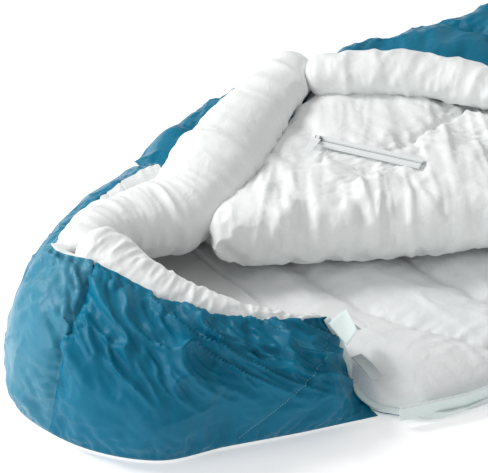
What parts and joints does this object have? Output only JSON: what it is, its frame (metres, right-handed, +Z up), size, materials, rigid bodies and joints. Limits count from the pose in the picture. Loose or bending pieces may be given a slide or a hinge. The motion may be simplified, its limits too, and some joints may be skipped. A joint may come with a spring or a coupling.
{
  "type": "hooded camp quilt",
  "caption": "Hooded down camp quilt made from a side-zip mummy bag laid flat, with a folding top corner, long zip, zipped pocket and neck tab.",
  "frame": {"origin": "on the ground under the centre of the box around the bag", "axes": "+X from the crown of the hood to the foot, -Y towards the long zip, +Z up"},
  "size_m": [2.0622, 0.7901, 0.2362],
  "materials": {
    "shell_nylon": "satin",
    "light_shell_nylon": "satin",
    "lining": "matte",
    "down_fill": "matte",
    "tape": "matte",
    "grey_tape": "matte",
    "coil": "satin",
    "puller": "matte",
    "zip_metal": "satin"
  },
  "bodies": {
    "bag": {"floor_down_channel_1": "down_fill", "floor_down_channel_2": "down_fill", "floor_down_channel_3": "down_fill", "floor_down_channel_4": "down_fill", "floor_down_channel_5": "down_fill", "floor_lining": "lining", "floor_shell": "shell_nylon", "foot_down": "down_fill", "foot_lining": "lining", "foot_shell": "shell_nylon", "hang_loop_far": "tape", "hang_loop_near": "tape", "hood_down_crown": "down_fill", "hood_down_far": "down_fill", "hood_down_near": "down_fill", "hood_facing_far": "lining", "hood_facing_near": "lining", "hood_floor_down": "down_fill", "hood_floor_lining": "lining", "hood_floor_shell": "shell_nylon", "hood_lining_crown": "lining", "hood_lining_far": "lining", "hood_lining_near": "lining", "hood_shell_crown": "light_shell_nylon", "hood_shell_far": "shell_nylon", "hood_shell_near": "shell_nylon", "neck_loop_patch": "grey_tape", "top_down_channel_1": "down_fill", "top_down_channel_2": "down_fill", "top_down_channel_3": "down_fill", "top_down_channel_4": "down_fill", "top_down_channel_5": "down_fill", "top_lining": "lining", "top_shell": "shell_nylon", "zip_bottom_stop": "zip_metal", "zip_coil_lower": "coil", "zip_coil_upper": "coil", "zip_tape_lower": "tape", "zip_tape_upper": "tape", "zip_top_stop": "zip_metal"},
    "folding_corner": {"flap_down_channel_1": "down_fill", "flap_down_channel_2": "down_fill", "flap_down_channel_3": "down_fill", "flap_draft_tube": "lining", "flap_lining": "lining", "flap_neck_collar": "lining", "flap_shell": "shell_nylon", "flap_zip_coil": "coil", "flap_zip_tape": "tape", "pocket_zip_coil": "coil", "pocket_zip_end_box": "zip_metal", "pocket_zip_tape_lower": "tape", "pocket_zip_tape_upper": "tape"},
    "main_slider": {"zip_slider": "zip_metal"},
    "main_puller": {"zip_puller": "puller"},
    "pocket_slider": {"pocket_slider": "zip_metal"},
    "pocket_pull": {"pocket_pull_tab": "tape"},
    "neck_tab": {"neck_tab": "tape", "neck_tab_hooks": "grey_tape"}
  },
  "joints": [
    {"name": "corner_fold", "type": "hinge", "parent": "bag", "child": "folding_corner", "pos_m": [-0.6329, 0.0871, 0.1312], "axis": [0.8751, -0.4839, 0], "range_deg": [0, 176], "deforming": ["flap_draft_tube", "flap_neck_collar", "neck_tab", "neck_tab_hooks"]},
    {"name": "main_slider_run", "type": "slide", "parent": "bag", "child": "main_slider", "axis": [-0.995, -0.0995, 0], "range_m": [0, 0.48]},
    {"name": "main_puller_turn", "type": "hinge", "parent": "main_slider", "child": "main_puller", "pos_m": [0.13453, -0.34958, 0.03425], "axis": [0, 0, 1], "range_deg": [0, 170]},
    {"name": "pocket_slider_run", "type": "slide", "parent": "folding_corner", "child": "pocket_slider", "axis": [0.5316, -0.847, 0], "range_m": [0, 0.155]},
    {"name": "pocket_pull_turn", "type": "hinge", "parent": "pocket_slider", "child": "pocket_pull", "pos_m": [-0.36924, 0.12036, 0.1949], "axis": [-0.5316, 0.847, 0], "range_deg": [0, 174]},
    {"name": "neck_tab_turn", "type": "hinge", "parent": "bag", "child": "neck_tab", "pos_m": [-0.5859, -0.2329, 0.118], "axis": [0, -1, 0], "range_deg": [-20, 95]}
  ]
}
